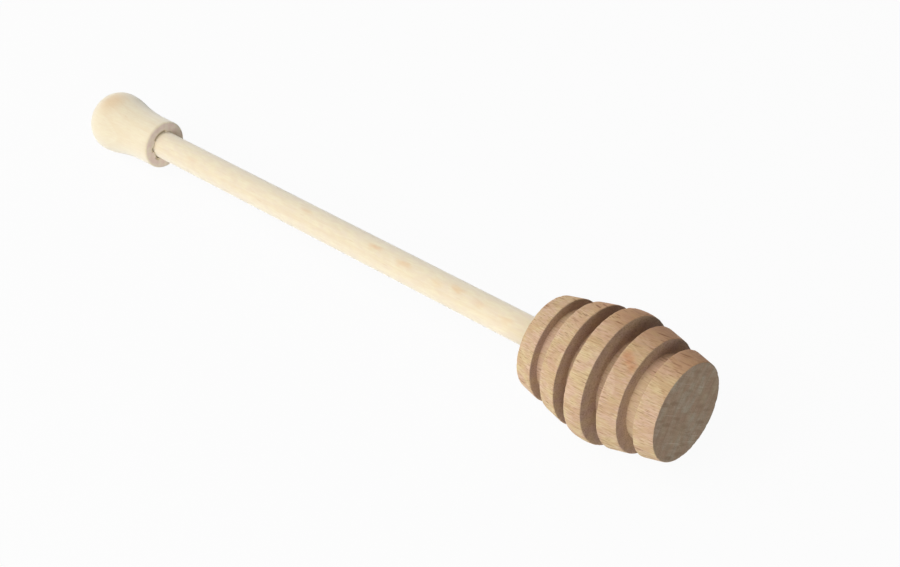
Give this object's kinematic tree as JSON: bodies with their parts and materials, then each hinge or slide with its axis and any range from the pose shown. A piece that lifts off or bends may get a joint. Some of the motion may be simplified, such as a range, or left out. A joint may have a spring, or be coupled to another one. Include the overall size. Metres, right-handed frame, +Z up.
{
  "type": "honey dipper",
  "caption": "Wooden honey dipper lying on its side: a barrel-shaped beech head with square honey grooves, a round dowel handle and a small turned end knob, glued into drilled sockets.",
  "frame": {"origin": "on the table, midway along the dipper's length as it lies at rest on its crown and its knob", "axes": "+Z up, +X along the table from the knob towards the head's flat end; the turning axis lies in the XZ plane and rises 2.44 degrees towards the head"},
  "size_m": [0.1638, 0.0256, 0.0256],
  "materials": {
    "head_beech": "bare steamed beech, turned and lightly sanded",
    "dowel_birch": "bare pale birch dowel, milled smooth",
    "knob_birch": "bare pale birch, turned and tumbled smooth",
    "wood_glue": "hardened clear yellow wood glue"
  },
  "bodies": {
    "root": {"dipper_head": "head_beech", "handle_dowel": "dowel_birch", "end_knob": "knob_birch", "head_glue": "wood_glue", "knob_glue": "wood_glue"}
  },
  "joints": []
}
